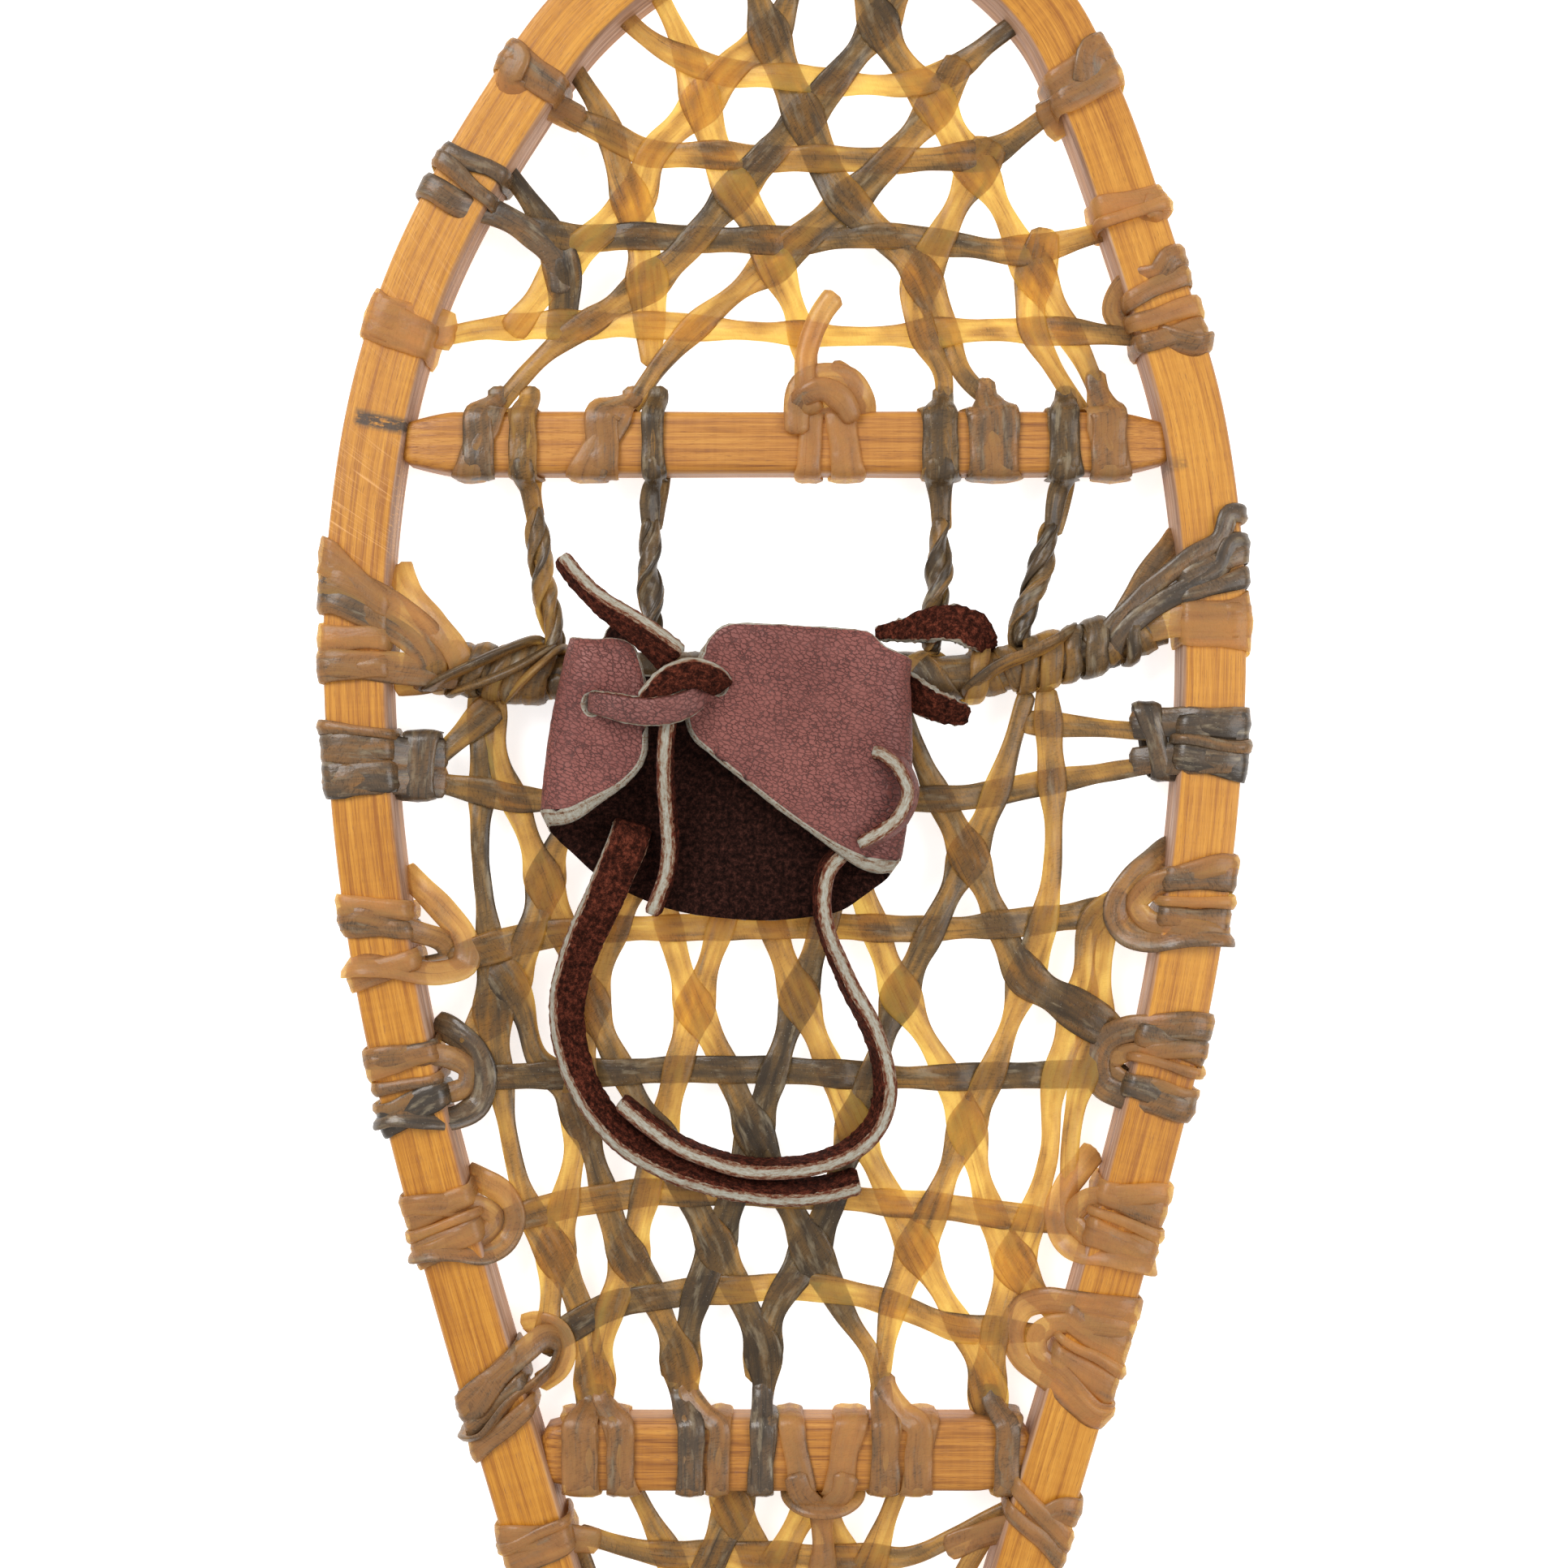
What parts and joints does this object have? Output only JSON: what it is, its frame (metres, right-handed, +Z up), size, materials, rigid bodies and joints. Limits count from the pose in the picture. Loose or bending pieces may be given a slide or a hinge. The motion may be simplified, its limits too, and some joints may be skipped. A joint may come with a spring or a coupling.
{
  "type": "traditional wood-frame snowshoe",
  "caption": "Teardrop snowshoe with a bent wood frame, two crossbars, rawhide webbing and lashings, and a leather toe binding that pivots on a wrapped rawhide cord.",
  "frame": {"origin": "under the middle of the snowshoe's bounding box, on the ground", "axes": "+X to the wearer's right, +Y to the toe, +Z up"},
  "size_m": [0.2328, 0.7526, 0.0369],
  "materials": {
    "frame_wood": "varnished ash, honey orange, scratched and weathered on its inner side",
    "crossbar_wood": "varnished ash, coarser grain",
    "rawhide": "dry translucent rawhide, amber to grey brown",
    "dark_rawhide": "dry rawhide with hair left on, grey brown",
    "grain_leather": "burgundy brown grain leather, dark suede flesh side, pale cut edges",
    "lace_leather": "red brown suede with pale grey cut edges"
  },
  "bodies": {
    "snowshoe": {"bent_frame": "frame_wood", "front_crossbar": "crossbar_wood", "rear_crossbar": "crossbar_wood", "master_cord": "dark_rawhide", "toe_webbing": "rawhide", "body_webbing": "rawhide", "tail_webbing": "rawhide", "tie_thong": "lace_leather", "rail_lashing_toe_left_1": "rawhide", "rail_lashing_toe_left_2": "rawhide", "rail_lashing_toe_left_3": "rawhide", "rail_lashing_toe_right_1": "rawhide", "rail_lashing_toe_right_2": "rawhide", "rail_lashing_toe_right_3": "rawhide", "rail_lashing_left_1": "rawhide", "rail_lashing_left_2": "rawhide", "rail_lashing_left_3": "rawhide", "rail_lashing_left_4": "rawhide", "rail_lashing_left_5": "rawhide", "rail_lashing_left_6": "rawhide", "rail_lashing_right_1": "rawhide", "rail_lashing_right_2": "rawhide", "rail_lashing_right_3": "rawhide", "rail_lashing_right_4": "rawhide", "rail_lashing_right_5": "rawhide", "rail_lashing_right_6": "rawhide", "rail_lashing_tail_left": "rawhide", "rail_lashing_tail_right": "rawhide", "master_lashing_left": "dark_rawhide", "master_lashing_right": "dark_rawhide", "front_crossbar_wrap_1": "rawhide", "front_crossbar_wrap_2": "rawhide", "front_crossbar_wrap_3": "rawhide", "front_crossbar_wrap_4": "rawhide", "front_crossbar_knot": "rawhide", "rear_crossbar_wrap_1": "rawhide", "rear_crossbar_wrap_2": "rawhide", "rear_crossbar_wrap_3": "rawhide", "rear_crossbar_wrap_4": "rawhide", "rear_crossbar_wrap_5": "rawhide", "rear_crossbar_wrap_6": "rawhide", "rear_crossbar_knot": "rawhide", "toe_hole_stringer_1": "dark_rawhide", "toe_hole_stringer_2": "dark_rawhide", "toe_hole_stringer_3": "dark_rawhide", "toe_hole_stringer_4": "dark_rawhide", "tail_lashing_1": "dark_rawhide", "tail_lashing_2": "dark_rawhide"},
    "binding": {"toe_piece": "grain_leather", "toe_lace_knot": "lace_leather", "toe_lace_upper_end": "lace_leather", "toe_lace_lower_end": "lace_leather", "side_lace": "lace_leather", "heel_strap_left": "lace_leather", "heel_strap_right": "lace_leather"}
  },
  "joints": [
    {"name": "binding_pivot", "type": "hinge", "parent": "snowshoe", "child": "binding", "pos_m": [0, 0.1848, 0.0086], "axis": [-1, 0, 0], "range_deg": [0, 50]}
  ]
}
